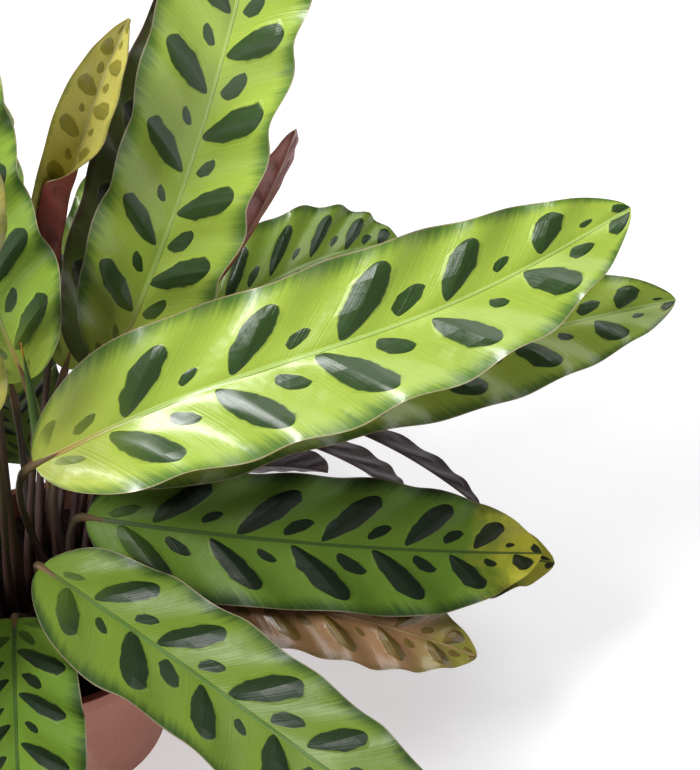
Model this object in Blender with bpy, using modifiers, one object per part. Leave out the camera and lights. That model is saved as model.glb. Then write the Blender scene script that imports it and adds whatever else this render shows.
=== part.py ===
# A rattlesnake plant in its nursery pot.
#
# Units are metres in Blender; the dimensions below are in millimetres.
# The origin is the middle of the pot's flat underside, +Z is up, and the
# long leaf at the top right of the photograph points along +X.

import math

import bpy
import bmesh
import numpy as np

# Driving dimensions, mm
POT_RIM_RADIUS = 60.0
POT_BASE_RADIUS = 43.0
POT_HEIGHT = 98.0
POT_WALL = 1.8
POT_FLOOR = 2.4
POT_LIP_HEIGHT = 9.0
POT_LIP_PROUD = 1.6
DRAIN_HOLES = 8
DRAIN_RADIUS = 3.5
DRAIN_CIRCLE = 29.0
SOIL_TOP = 86.0
SOIL_DOME = 2.0
SEAT_GAP = 0.3
LEAF_THICKNESS = 0.9
MIDRIB_DEPTH = 0.9
STALK_RADIUS = 1.5
FOOT_RADIUS = 2.4
BLADE_STEPS = 12
STALK_STEPS = 6
MM = 0.001

# Colours, linear
TERRACOTTA = (0.29, 0.12, 0.09)
SOIL_BROWN = (0.020, 0.013, 0.009)
LEAF_GREEN = (0.16, 0.36, 0.05)
LEAF_SHADE_GREEN = (0.07, 0.20, 0.03)
LEAF_GOLD = (0.40, 0.38, 0.06)
LEAF_RED = (0.20, 0.05, 0.04)


def unit(v):
    return np.array(v, float) / np.linalg.norm(v)


# A leaf is a stalk from the soil to the blade's base, and a blade along a
# midrib from base to tip. Bow is how far the middle of the midrib stands off
# the straight line, and swing bends it into an S. Face is the way that the
# upper side looks, at the base and at the tip. Fold lifts both halves from
# the midrib, and curl rolls the right and the left margin over, in degrees.
LEAVES = {}


def leaf(name, foot, base, tip, width, face, colour, bow=(0, 0, 0), swing=(0, 0, 0),
         face_tip=None, fold=8, curl_right=(10, 10), curl_left=(10, 10), rise=None, roll=0.0):
    LEAVES[name] = dict(
        foot=np.array((foot[0], foot[1], SOIL_TOP + SEAT_GAP), float),
        base=np.array(base, float), tip=np.array(tip, float), width=width,
        face=unit(face), face_tip=unit(face_tip or face), colour=colour,
        bow=np.array(bow, float), swing=np.array(swing, float), fold=fold,
        curl_right=curl_right, curl_left=curl_left, rise=rise, roll=roll)


# Leaves seen in the photograph
leaf("leaf_long", foot=(1, 4), base=(0, 14, 165), tip=(238, 70, 255), width=64,
     face=(0.0, -0.62, 0.78), colour=LEAF_GREEN, bow=(0, -14, 9), swing=(0, 3, 3))
leaf("leaf_under_long", foot=(9, 5), base=(12, 30, 148), tip=(266, 84, 190), width=54,
     face=(0.0, -0.55, 0.83), colour=LEAF_GREEN, bow=(0, -4, 10))
leaf("leaf_tall", foot=(7, 15), base=(25, 71, 158), tip=(104, 93, 408), width=56,
     face=(-0.2, -0.95, 0.2), colour=LEAF_GREEN, bow=(6, -6, 0))
leaf("leaf_tall_behind", foot=(1, 18), base=(12, 88, 142), tip=(106, 114, 385), width=46,
     face=(-0.3, -0.9, 0.2), colour=LEAF_SHADE_GREEN, bow=(-6, 0, 0))
leaf("leaf_rolled", foot=(-5, 12), base=(3, 85, 188), tip=(51, 65, 348), width=28,
     face=(-0.3, -0.9, 0.2), colour=LEAF_GOLD, bow=(-6, 0, 0), fold=30,
     curl_right=(160, 10), curl_left=(20, 10))
leaf("leaf_upper_left", foot=(-10, 4), base=(-6, 50, 176), tip=(-30, 82, 362), width=58,
     face=(0.2, -0.95, 0.2), colour=LEAF_GREEN, bow=(-6, 0, 0))
leaf("leaf_gold_left", foot=(-12, -2), base=(-12, 32, 255), tip=(-28, 48, 402), width=38,
     face=(0.5, -0.85, 0.1), colour=LEAF_GOLD, fold=20)
leaf("leaf_olive_left", foot=(-16, -7), base=(-13, 3, 204), tip=(-46, 10, 330), width=40,
     face=(0.4, -0.8, 0.2), colour=LEAF_GOLD, fold=20)
leaf("leaf_back_right", foot=(14, 26), base=(40, 92, 128), tip=(152, 149, 160), width=50,
     face=(0.0, -0.4, 0.9), colour=LEAF_GREEN, bow=(0, 0, 22))
leaf("leaf_red_edge", foot=(9, 25), base=(40, 90, 151), tip=(107, 80, 286), width=36,
     face=(-0.7, 0.6, 0.2), colour=LEAF_RED, bow=(6, 6, -8))
leaf("leaf_between", foot=(13, 15), base=(26, 54, 130), tip=(98, 87, 160), width=44,
     face=(0.0, -0.5, 0.85), colour=LEAF_GREEN, bow=(0, 0, 12))
leaf("leaf_shaded", foot=(10, -2), base=(17, 16, 128), tip=(213, 24, 92), width=58,
     face=(0.0, -0.6, 0.8), colour=LEAF_SHADE_GREEN, bow=(0, -12, 10))
leaf("leaf_low", foot=(18, 2), base=(26, 9, 110), tip=(222, 38, 66), width=50,
     face=(0.0, -0.4, 0.9), colour=LEAF_SHADE_GREEN, bow=(0, 0, 10))
leaf("leaf_copper", foot=(18, -6), base=(26, -6, 106), tip=(184, -14, 68), width=42,
     face=(0.0, -0.35, 0.93), colour=LEAF_GOLD, bow=(0, 0, 14))
leaf("leaf_front_right", foot=(3, -11), base=(-1, -3, 119), tip=(168, -154, 144), width=54,
     face=(0.1, -0.3, 0.95), colour=LEAF_GREEN, bow=(0, -2, 7))
leaf("leaf_front", foot=(-6, -10), base=(-13, -16, 100), tip=(17, -180, 130), width=52,
     face=(0.1, -0.1, 1.0), colour=LEAF_GREEN, bow=(0, 0, 14))
leaf("leaf_small_front", foot=(10, -15), base=(14, -24, 100), tip=(50, -58, 100), width=20,
     face=(0.3, -0.2, 0.9), colour=LEAF_GREEN, bow=(0, 0, 8), fold=30)
leaf("leaf_dark_near", foot=(21, 12), base=(44, 43, 114), tip=(118, 74, 88), width=30,
     face=(0.1, 1.0, 0.1), colour=LEAF_RED, bow=(0, 0, 10))
leaf("leaf_dark_middle", foot=(20, 20), base=(50, 64, 126), tip=(154, 82, 60), width=38,
     face=(0.6, 0.8, 0.1), colour=LEAF_RED, bow=(0, 0, 20))
leaf("leaf_dark_far", foot=(19, 27), base=(54, 78, 128), tip=(188, 60, 80), width=40,
     face=(0.3, 0.75, 0.55), colour=LEAF_RED, bow=(0, 8, 16))
# The youngest leaf, still rolled up into a spear, with the radius of its roll
leaf("leaf_spear", foot=(2, 11), base=(1, 29, 138), tip=(-1, 35, 215), width=8,
     face=(0.0, -1.0, 0.1), colour=LEAF_GOLD, roll=3.4)

# Leaves outside the photograph, behind and to the left
leaf("leaf_left_arching", foot=(-21, -3), base=(-32, 0, 138), tip=(-225, 10, 150), width=54,
     face=(0.0, -0.2, 1.0), colour=LEAF_GREEN, bow=(0, 0, 34))
leaf("leaf_left_back", foot=(-17, 7), base=(-32, 32, 156), tip=(-190, 100, 230), width=54,
     face=(0.3, -0.4, 0.9), colour=LEAF_GREEN, bow=(0, 0, 20))
leaf("leaf_left_front", foot=(-21, -11), base=(-28, -12, 125), tip=(-200, -84, 110), width=52,
     face=(0.0, 0.0, 1.0), colour=LEAF_GREEN, bow=(0, 0, 26))
leaf("leaf_front_left", foot=(-19, -16), base=(-30, -26, 135), tip=(-140, -170, 165), width=54,
     face=(0.1, 0.0, 1.0), colour=LEAF_GREEN, bow=(0, 0, 24))
leaf("leaf_front_low", foot=(-5, -20), base=(-10, -36, 101), tip=(-70, -185, 84), width=48,
     face=(0.0, 0.0, 1.0), colour=LEAF_SHADE_GREEN, bow=(0, 0, 18))
leaf("leaf_back_left", foot=(-16, 15), base=(-30, 38, 128), tip=(-158, 145, 140), width=52,
     face=(0.2, -0.3, 0.95), colour=LEAF_GREEN, bow=(0, 0, 28))
leaf("leaf_left_upright", foot=(-24, 6), base=(-46, 26, 172), tip=(-120, 84, 325), width=46,
     face=(0.6, -0.7, 0.3), colour=LEAF_GREEN, fold=14)
leaf("leaf_back_left_low", foot=(-9, 27), base=(-16, 66, 103), tip=(-52, 172, 62), width=52,
     face=(-0.1, 0.2, 1.0), colour=LEAF_SHADE_GREEN, bow=(0, 0, 14))
leaf("leaf_back_high", foot=(-9, 20), base=(-19, 74, 140), tip=(-62, 215, 215), width=52,
     face=(0.0, -0.5, 0.9), colour=LEAF_GREEN, bow=(0, 0, 26))
leaf("leaf_back_arching", foot=(-3, 29), base=(0, 97, 132), tip=(56, 224, 165), width=48,
     face=(0.0, -0.4, 0.9), colour=LEAF_GREEN, bow=(0, 0, 24))
leaf("leaf_back_low", foot=(12, 33), base=(40, 92, 100), tip=(116, 170, 58), width=46,
     face=(0.3, 0.2, 0.95), colour=LEAF_SHADE_GREEN, bow=(0, 0, 16))
leaf("leaf_left_low", foot=(-28, -5), base=(-40, -6, 102), tip=(-195, -34, 60), width=48,
     face=(0.0, 0.0, 1.0), colour=LEAF_SHADE_GREEN, bow=(0, 0, 18))


def smooth(x):
    x = min(max(x, 0.0), 1.0)
    return x * x * (3 - 2 * x)


def outline(t):
    """Half width of a blade along its length, as a part of the largest."""
    if t < 0.28:
        return (1 - (1 - t / 0.28) ** 2.2) ** 0.6
    if t > 0.6:
        return max(1 - ((t - 0.6) / 0.4) ** 2.2, 0.0) ** 0.7
    return 1.0


def midrib(lf, t):
    line = lf["base"] * (1 - t) + lf["tip"] * t
    return line + lf["bow"] * 4 * t * (1 - t) + lf["swing"] * math.sin(2 * math.pi * t)


def blade_frame(lf, t):
    """Point, direction, upward normal and direction to the right."""
    along = unit(midrib(lf, t + 0.01) - midrib(lf, t - 0.01))
    face = lf["face"] * (1 - t) + lf["face_tip"] * t
    normal = unit(face - along * face.dot(along))
    return midrib(lf, t), along, normal, np.cross(along, normal)


def across(lf, t, side, part, half):
    """Offset to the side and up, at a part of the half width."""
    curl = lf["curl_right"] if side > 0 else lf["curl_left"]
    turn = math.radians(curl[0] * (1 - t) + curl[1] * t)
    x = z = 0.0
    steps = 12
    for i in range(steps):
        s = part * (i + 0.5) / steps
        angle = math.radians(lf["fold"]) + turn * s * s
        x += math.cos(angle) * part / steps
        z += math.sin(angle) * part / steps
    return side * x * half, z * half


def round_ring(point, side, up, radius):
    ring = []
    for i in range(10):
        angle = math.radians(162 - 36 * i)
        ring.append(point + side * math.cos(angle) * radius + up * math.sin(angle) * radius)
    return ring


def blade_ring(lf, t):
    point, along, normal, right = blade_frame(lf, t)
    if lf["roll"] > 0:
        swell = smooth(t / 0.3) * (1 - smooth((t - 0.35) / 0.65))
        radius = STALK_RADIUS * (1 - 0.8 * t) + (lf["roll"] - STALK_RADIUS) * swell
        return round_ring(point, right, normal, radius)
    half = max(lf["width"] / 2 * outline(t), STALK_RADIUS * (1 - 0.6 * t))
    rib = MIDRIB_DEPTH * (1 - t)
    top = []
    bottom = []
    for part in (-1.0, -0.5, 0.0, 0.5, 1.0):
        side = 1 if part >= 0 else -1
        x, z = across(lf, t, side, abs(part), half)
        x2, z2 = across(lf, t, side, abs(part) + 0.02, half)
        sheet = unit((z2 - z, abs(x2) - abs(x)))
        drop = LEAF_THICKNESS + (rib if part == 0 else 0.0)
        up = point + right * x + normal * z
        if part == 0:
            under = up - normal * drop
        else:
            under = up + right * side * sheet[0] * drop - normal * sheet[1] * drop
        top.append(up)
        bottom.append(under)
    return top + bottom[::-1]


def stalk_curve(lf):
    start = lf["foot"]
    end, along, normal, right = blade_frame(lf, 0.0)
    end = end - along * 1.5
    reach = np.linalg.norm(end - start)
    first = start + np.array((0, 0, 1.0)) * reach * 0.45
    last = end - along * reach * (0.25 if lf["rise"] is None else lf["rise"])

    def at(p):
        q = 1 - p
        return start * q ** 3 + first * 3 * q * q * p + last * 3 * q * p * p + end * p ** 3
    return at, right


def stalk_ring(lf, p):
    at, right = stalk_curve(lf)
    along = unit(at(p + 0.01) - at(p - 0.01)) if p > 0 else np.array((0, 0, 1.0))
    side = unit(right - along * right.dot(along))
    if p == 0:
        side = unit((right[0], right[1], 0.0))
    up = np.cross(side, along)
    radius = STALK_RADIUS + (FOOT_RADIUS - STALK_RADIUS) * (1 - smooth(p / 0.5))
    return round_ring(at(p), side, up, radius)


def leaf_rings(lf):
    rings = [stalk_ring(lf, i / STALK_STEPS) for i in range(STALK_STEPS)]
    steps = [0.0, 0.03] + [0.08 + 0.92 * i / (BLADE_STEPS - 2) for i in range(BLADE_STEPS - 1)]
    rings += [blade_ring(lf, min(t, 0.995)) for t in steps]
    return rings


# Clearing the scene and making the collections and materials
for thing in list(bpy.data.objects):
    bpy.data.objects.remove(thing, do_unlink=True)

parts = bpy.data.collections.new("rattlesnake_plant")
bpy.context.scene.collection.children.link(parts)
cutters = bpy.data.collections.new("cutters")
bpy.context.scene.collection.children.link(cutters)


def material(name, colour, roughness):
    mat = bpy.data.materials.new(name)
    mat.use_nodes = True
    shader = mat.node_tree.nodes["Principled BSDF"]
    shader.inputs["Base Color"].default_value = (*colour, 1.0)
    shader.inputs["Roughness"].default_value = roughness
    shader.inputs["Metallic"].default_value = 0.0
    return mat


def add_mesh(name, verts, faces, mat, collection=parts):
    mesh = bpy.data.meshes.new(name)
    mesh.from_pydata([tuple(v * MM for v in p) for p in verts], [], faces)
    mesh.validate()
    obj = bpy.data.objects.new(name, mesh)
    collection.objects.link(obj)
    if mat is not None:
        mesh.materials.append(mat)
    return obj


# Pot: a turned shell with a lip, and drainage holes cut through its floor
wall_slope = (POT_RIM_RADIUS - POT_LIP_PROUD - POT_BASE_RADIUS) / POT_HEIGHT


def wall_radius(z):
    return POT_BASE_RADIUS + wall_slope * z


lip_bottom = POT_HEIGHT - POT_LIP_HEIGHT
profile = [
    (wall_radius(POT_FLOOR) - POT_WALL - 0.6, POT_FLOOR),
    (wall_radius(POT_HEIGHT) - POT_WALL, POT_HEIGHT - 0.5),
    (wall_radius(POT_HEIGHT) - POT_WALL + 0.6, POT_HEIGHT),
    (POT_RIM_RADIUS - 0.6, POT_HEIGHT),
    (POT_RIM_RADIUS, POT_HEIGHT - 0.6),
    (POT_RIM_RADIUS - 0.4, lip_bottom + 0.5),
    (wall_radius(lip_bottom), lip_bottom),
    (wall_radius(3.0), 3.0),
    (POT_BASE_RADIUS - 0.6, 0.6),
    (POT_BASE_RADIUS - 1.4, 0.0),
]
profile = [(0.0, POT_FLOOR)] + profile + [(0.0, 0.0)]
pot = add_mesh("pot", [(x, 0.0, z) for x, z in profile], [], material("terracotta_plastic", TERRACOTTA, 0.55))
pot.data.edges.add(len(profile) - 1)
for i, edge in enumerate(pot.data.edges):
    edge.vertices = (i, i + 1)


def turn(obj, steps):
    screw = obj.modifiers.new("turned", "SCREW")
    screw.axis = "Z"
    screw.angle = 2 * math.pi
    screw.steps = steps
    screw.render_steps = steps
    screw.use_merge_vertices = True
    screw.merge_threshold = 0.00001


turn(pot, 48)
for i in range(DRAIN_HOLES):
    angle = 2 * math.pi * (i + 0.5) / DRAIN_HOLES
    mesh = bpy.data.meshes.new("drain_cutter")
    bm = bmesh.new()
    bmesh.ops.create_cone(bm, cap_ends=True, segments=12, radius1=DRAIN_RADIUS * MM,
                          radius2=DRAIN_RADIUS * MM, depth=3 * POT_FLOOR * MM)
    bm.to_mesh(mesh)
    bm.free()
    cutter = bpy.data.objects.new("drain_cutter_%d" % (i + 1), mesh)
    cutter.location = (DRAIN_CIRCLE * math.cos(angle) * MM, DRAIN_CIRCLE * math.sin(angle) * MM,
                       POT_FLOOR / 2 * MM)
    cutters.objects.link(cutter)
    cutter.hide_render = True
    cutter.display_type = "WIRE"
    cut = pot.modifiers.new("drain_%d" % (i + 1), "BOOLEAN")
    cut.operation = "DIFFERENCE"
    cut.solver = "EXACT"
    cut.object = cutter

# Soil: a turned plug that fills the pot with a small gap all round
soil_bottom = POT_FLOOR + SEAT_GAP
soil_rim = wall_radius(SOIL_TOP - SOIL_DOME) - POT_WALL - 0.5
soil_profile = [
    (0.0, SOIL_TOP),
    (34.0, SOIL_TOP),
    (46.0, SOIL_TOP - 0.8),
    (soil_rim, SOIL_TOP - SOIL_DOME),
    (wall_radius(soil_bottom) - POT_WALL - 1.2, soil_bottom),
    (0.0, soil_bottom),
]
soil = add_mesh("soil", [(x, 0.0, z) for x, z in soil_profile], [], material("potting_soil", SOIL_BROWN, 0.95))
soil.data.edges.add(len(soil_profile) - 1)
for i, edge in enumerate(soil.data.edges):
    edge.vertices = (i, i + 1)
turn(soil, 32)

# Leaves: each one is a loft from the stalk's round foot to the blade's tip
mats = {}
for name, lf in LEAVES.items():
    if lf["colour"] not in mats:
        mats[lf["colour"]] = material("leaf_colour_%d" % (len(mats) + 1), lf["colour"], 0.35)
    rings = leaf_rings(lf)
    verts = [p for ring in rings for p in ring]
    faces = []
    count = len(rings[0])
    for r in range(len(rings) - 1):
        for i in range(count):
            j = (i + 1) % count
            faces.append((r * count + i, r * count + j, (r + 1) * count + j, (r + 1) * count + i))
    faces.append(tuple(reversed(range(count))))
    last = (len(rings) - 1) * count
    faces.append(tuple(range(last, last + count)))
    add_mesh(name, verts, faces, mats[lf["colour"]])

for obj in parts.objects:
    if obj.type == "MESH":
        obj.data.shade_smooth()
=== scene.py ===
import math

import bpy
import bmesh
import numpy as np
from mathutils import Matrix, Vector


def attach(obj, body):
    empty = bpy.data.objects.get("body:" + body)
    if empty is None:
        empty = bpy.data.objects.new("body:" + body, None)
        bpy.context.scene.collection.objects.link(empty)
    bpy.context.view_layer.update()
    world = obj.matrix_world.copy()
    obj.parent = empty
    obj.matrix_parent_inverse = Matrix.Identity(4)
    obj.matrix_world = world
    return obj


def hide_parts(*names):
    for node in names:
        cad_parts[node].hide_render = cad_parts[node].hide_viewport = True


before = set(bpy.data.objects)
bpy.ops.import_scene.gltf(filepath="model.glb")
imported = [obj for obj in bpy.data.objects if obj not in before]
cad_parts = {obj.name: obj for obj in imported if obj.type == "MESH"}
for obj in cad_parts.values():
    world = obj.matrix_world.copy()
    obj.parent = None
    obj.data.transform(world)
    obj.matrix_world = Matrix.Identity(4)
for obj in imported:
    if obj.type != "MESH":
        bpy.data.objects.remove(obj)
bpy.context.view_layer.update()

# The pot
# A tapered nursery pot of thin terracotta-coloured plastic, 12 cm across its
# rim. It is injection moulded in one piece, with a proud lip, a stepped foot
# and eight drainage holes through its floor. All sizes here are in mm.
RIM_RADIUS = 60.0
BASE_RADIUS = 43.0
POT_HEIGHT = 98.0
POT_WALL = 1.8
POT_FLOOR = 2.4
LIP_HEIGHT = 9.0
LIP_PROUD = 1.6
STEP_TOP = 16.0
STEP_FOOT = 15.4
STEP_DEPTH = 0.35
EDGE_ROUNDING = 0.7
POT_STEPS = 160
DRAINS = 8
DRAIN_RADIUS = 3.5
DRAIN_CIRCLE = 29.0
MM = 0.001


def math_node(tree, kind, *values, clamp=False):
    node = tree.nodes.new("ShaderNodeMath")
    node.operation = kind
    node.use_clamp = clamp
    for socket, value in zip(node.inputs, values):
        if isinstance(value, (int, float)):
            socket.default_value = value
        else:
            tree.links.new(value, socket)
    return node.outputs[0]


def step_between(tree, value, low, high):
    """0 below low, 1 above high, and smooth between the two."""
    node = tree.nodes.new("ShaderNodeMapRange")
    node.interpolation_type = "SMOOTHSTEP"
    for socket, given in (("Value", value), ("From Min", low), ("From Max", high)):
        if isinstance(given, (int, float)):
            node.inputs[socket].default_value = given
        else:
            tree.links.new(given, node.inputs[socket])
    return node.outputs["Result"]


def tint(tree, amount, first, second):
    """Mixes the second colour over the first by the amount."""
    node = tree.nodes.new("ShaderNodeMix")
    node.data_type = "RGBA"
    sockets = (node.inputs[0], node.inputs[6], node.inputs[7])
    for socket, given in zip(sockets, (amount, first, second)):
        if isinstance(given, tuple):
            socket.default_value = (*given, 1.0)
        elif isinstance(given, (int, float)):
            socket.default_value = given
        else:
            tree.links.new(given, socket)
    return node.outputs[2]


def cloud(tree, scale, detail=3.0, stretch=None, rough=0.55):
    """Soft noise over the object, with its scale counted per metre."""
    place = tree.nodes.new("ShaderNodeTexCoord").outputs["Object"]
    if stretch is not None:
        mapping = tree.nodes.new("ShaderNodeMapping")
        mapping.inputs["Scale"].default_value = stretch
        tree.links.new(place, mapping.inputs["Vector"])
        place = mapping.outputs["Vector"]
    node = tree.nodes.new("ShaderNodeTexNoise")
    node.inputs["Scale"].default_value = scale
    node.inputs["Detail"].default_value = detail
    node.inputs["Roughness"].default_value = rough
    tree.links.new(place, node.inputs["Vector"])
    return node.outputs["Fac"]


def new_material(name, roughness=0.5, specular=0.5):
    mat = bpy.data.materials.new(name)
    mat.use_nodes = True
    shader = mat.node_tree.nodes["Principled BSDF"]
    shader.inputs["Roughness"].default_value = roughness
    shader.inputs["Specular IOR Level"].default_value = specular
    return mat, mat.node_tree, shader


def relief(tree, shader, height, depth):
    bump = tree.nodes.new("ShaderNodeBump")
    bump.inputs["Strength"].default_value = 1.0
    bump.inputs["Distance"].default_value = depth
    tree.links.new(height, bump.inputs["Height"])
    tree.links.new(bump.outputs["Normal"], shader.inputs["Normal"])


def shown(name, mesh, materials, *nodes, slot="leaf"):
    """Puts a finished mesh in the scene in place of its CAD nodes."""
    obj = bpy.data.objects.new(name, mesh)
    bpy.context.scene.collection.objects.link(obj)
    for mat in materials:
        mesh.materials.append(mat)
    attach(obj, "root")
    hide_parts(*nodes)
    return obj


def turned_mesh(name, profile, steps):
    """A profile of (radius, height) turned round the upright axis, in mm."""
    mesh = bpy.data.meshes.new(name)
    bm = bmesh.new()
    rings = []
    for radius, height in profile:
        if radius == 0.0:
            rings.append([bm.verts.new((0.0, 0.0, height * MM))] * steps)
            continue
        ring = []
        for i in range(steps):
            angle = 2 * math.pi * i / steps
            x, y = radius * math.cos(angle), radius * math.sin(angle)
            ring.append(bm.verts.new((x * MM, y * MM, height * MM)))
        rings.append(ring)
    for upper, lower in zip(rings, rings[1:]):
        for i in range(steps):
            j = (i + 1) % steps
            corners = [upper[i], lower[i], lower[j], upper[j]]
            corners = [v for k, v in enumerate(corners) if v not in corners[:k]]
            bm.faces.new(corners)
    bm.normal_update()
    bm.to_mesh(mesh)
    bm.free()
    return mesh


def pot_side(z):
    return BASE_RADIUS + (RIM_RADIUS - LIP_PROUD - BASE_RADIUS) * z / POT_HEIGHT


def rounded(points, radius, steps=4):
    """Rounds the corners of an open profile."""
    out = [points[0]]
    for before, corner, after in zip(points, points[1:], points[2:]):
        c = np.array(corner, float)
        a = np.array(before, float) - c
        b = np.array(after, float) - c
        reach = min(radius, 0.45 * np.linalg.norm(a), 0.45 * np.linalg.norm(b))
        start = c + a / np.linalg.norm(a) * reach
        end = c + b / np.linalg.norm(b) * reach
        for k in range(steps + 1):
            s = k / steps
            out.append(tuple(start * (1 - s) ** 2 + c * 2 * s * (1 - s) + end * s * s))
    out.append(points[-1])
    return out


lip_foot = POT_HEIGHT - LIP_HEIGHT
pot_profile = rounded([
    (0.0, POT_FLOOR),
    (pot_side(POT_FLOOR) - POT_WALL - 0.6, POT_FLOOR),
    (pot_side(POT_HEIGHT) - POT_WALL, POT_HEIGHT),
    (RIM_RADIUS, POT_HEIGHT),
    (RIM_RADIUS - 0.4, lip_foot),
    (pot_side(lip_foot), lip_foot),
    (pot_side(STEP_TOP), STEP_TOP),
    (pot_side(STEP_FOOT) - STEP_DEPTH, STEP_FOOT),
    (pot_side(1.0) - STEP_DEPTH, 1.0),
    (BASE_RADIUS - 1.2, 0.0),
    (0.0, 0.0),
], EDGE_ROUNDING)
pot_mesh = turned_mesh("pot", pot_profile, POT_STEPS)
mat, tree, shader = new_material("terracotta_plastic", 0.5, 0.4)
patches = cloud(tree, 28.0, 5.0)
fine = cloud(tree, 900.0, 2.0)
dust = cloud(tree, 60.0, 6.0, (1.0, 1.0, 0.3), 0.7)
colour = tint(tree, patches, (0.320, 0.116, 0.074), (0.420, 0.168, 0.112))
colour = tint(tree, step_between(tree, dust, 0.52, 0.78), colour, (0.48, 0.27, 0.21))
splash = step_between(tree, cloud(tree, 170.0, 1.0), 0.76, 0.80)
colour = tint(tree, splash, colour, (0.10, 0.045, 0.035))
tree.links.new(colour, shader.inputs["Base Color"])
tree.links.new(step_between(tree, dust, -0.9, 1.1), shader.inputs["Roughness"])
relief(tree, shader, math_node(tree, "ADD", fine, math_node(tree, "MULTIPLY", dust, 0.6)), 0.00012)
pot = shown("pot_shell", pot_mesh, [mat], "pot", slot="terracotta_plastic")
drill_mesh = bpy.data.meshes.new("drain_drill")
bm = bmesh.new()
for i in range(DRAINS):
    angle = 2 * math.pi * (i + 0.5) / DRAINS
    made = bmesh.ops.create_cone(
        bm, cap_ends=True, segments=32, depth=8 * MM,
        radius1=DRAIN_RADIUS * MM, radius2=DRAIN_RADIUS * MM)
    x, y = DRAIN_CIRCLE * MM * math.cos(angle), DRAIN_CIRCLE * MM * math.sin(angle)
    bmesh.ops.translate(bm, verts=made["verts"], vec=(x, y, MM))
bm.to_mesh(drill_mesh)
bm.free()
drill = bpy.data.objects.new("drain_drill", drill_mesh)
bpy.context.scene.collection.objects.link(drill)
cut = pot.modifiers.new("drains", "BOOLEAN")
cut.operation = "DIFFERENCE"
cut.solver = "EXACT"
cut.object = drill
drilled = bpy.data.meshes.new_from_object(pot.evaluated_get(bpy.context.evaluated_depsgraph_get()))
pot.modifiers.clear()
pot.data = drilled
bpy.data.objects.remove(drill, do_unlink=True)
pot.data.shade_smooth()
pot.data.set_sharp_from_angle(angle=math.radians(40))

# The soil
# Dark, damp peat that fills the pot to about a centimetre below its rim. It
# is one loose ball held together by the roots, with a crumbly, uneven top on
# which a few coarser crumbs lie.
SOIL_TOP = 86.0
SOIL_BOTTOM = POT_FLOOR + 0.3
SOIL_EDGE = pot_side(SOIL_TOP) - POT_WALL - 0.4
SOIL_RINGS = 45
SOIL_STEPS = 150
CRUMBS = 240


def soil_level(reach):
    """Height of the top at a distance from the middle. It sinks at the wall."""
    return SOIL_TOP - 2.0 * (reach / SOIL_EDGE) ** 4


def lumps(x, y):
    """Height of the crumbly top over its flat level, in mm."""
    value = 1.1 * math.sin(0.31 * x + 1.3) * math.sin(0.27 * y + 0.4)
    value += 0.7 * math.sin(0.83 * x - 0.37 * y + 2.0) * math.sin(0.71 * y + 0.29 * x)
    value += 0.4 * math.sin(1.9 * x + 0.9 * y) * math.sin(1.7 * y - 1.1 * x + 0.7)
    return value


soil_profile = [(0.0, SOIL_TOP)]
for k in range(1, SOIL_RINGS + 1):
    radius = SOIL_EDGE * k / SOIL_RINGS
    soil_profile.append((radius, soil_level(radius)))
soil_profile += [
    (SOIL_EDGE - 0.2, SOIL_TOP - 6.0),
    (pot_side(SOIL_BOTTOM) - POT_WALL - 1.2, SOIL_BOTTOM),
    (0.0, SOIL_BOTTOM),
]
soil_mesh = turned_mesh("soil", soil_profile, SOIL_STEPS)
for vert in soil_mesh.vertices:
    x, y, z = (c / MM for c in vert.co)
    reach = math.hypot(x, y)
    if z > SOIL_TOP - 3.0:
        calm = 1.0 - 0.6 * max(0.0, (reach - 44.0) / 10.0)
        vert.co.z += lumps(x, y) * calm * MM
bm = bmesh.new()
bm.from_mesh(soil_mesh)
chance = np.random.default_rng(7)
for _ in range(CRUMBS):
    reach = SOIL_EDGE * math.sqrt(chance.uniform(0.0, 0.9))
    angle = chance.uniform(0.0, 2 * math.pi)
    x, y = reach * math.cos(angle), reach * math.sin(angle)
    size = chance.uniform(0.7, 2.2)
    crumb = bmesh.ops.create_icosphere(bm, subdivisions=2, radius=size * MM)
    squeeze = (chance.uniform(0.7, 1.6), chance.uniform(0.6, 1.1), chance.uniform(0.5, 0.9))
    ways = chance.uniform(-1.0, 1.0, 3)
    for vert in crumb["verts"]:
        d = vert.co / (size * MM)
        knob = 1.0 + 0.22 * math.sin(5 * d.x + 9 * ways[0]) * math.sin(4 * d.y + 7 * ways[1])
        knob += 0.14 * math.sin(9 * d.z + 8 * ways[2] + 6 * d.x)
        vert.co.x *= squeeze[0] * knob
        vert.co.y *= squeeze[1] * knob
        vert.co.z *= squeeze[2] * knob
    level = soil_level(reach) + lumps(x, y) + 0.1 * size
    bmesh.ops.translate(bm, verts=crumb["verts"], vec=(x * MM, y * MM, level * MM))
bm.to_mesh(soil_mesh)
bm.free()
soil_mesh.shade_smooth()
mat, tree, shader = new_material("potting_soil", 0.9, 0.3)
grain = cloud(tree, 700.0, 6.0, None, 0.7)
fibre = cloud(tree, 260.0, 4.0, (1.0, 0.25, 1.0), 0.6)
colour = tint(tree, grain, (0.006, 0.004, 0.003), (0.046, 0.030, 0.020))
colour = tint(tree, step_between(tree, fibre, 0.62, 0.74), colour, (0.115, 0.070, 0.040))
tree.links.new(colour, shader.inputs["Base Color"])
tree.links.new(step_between(tree, grain, -2.0, 1.0), shader.inputs["Roughness"])
relief(tree, shader, grain, 0.0012)
shown("soil_ball", soil_mesh, [mat], "soil", slot="potting_soil")

# The leaf materials
# A rattlesnake leaf is lime green above, with dark oval blotches large and
# small in turn along its side veins, a feathered dark margin and a pale
# midrib. Its underside is wine red. Very young leaves are golden green.


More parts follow.
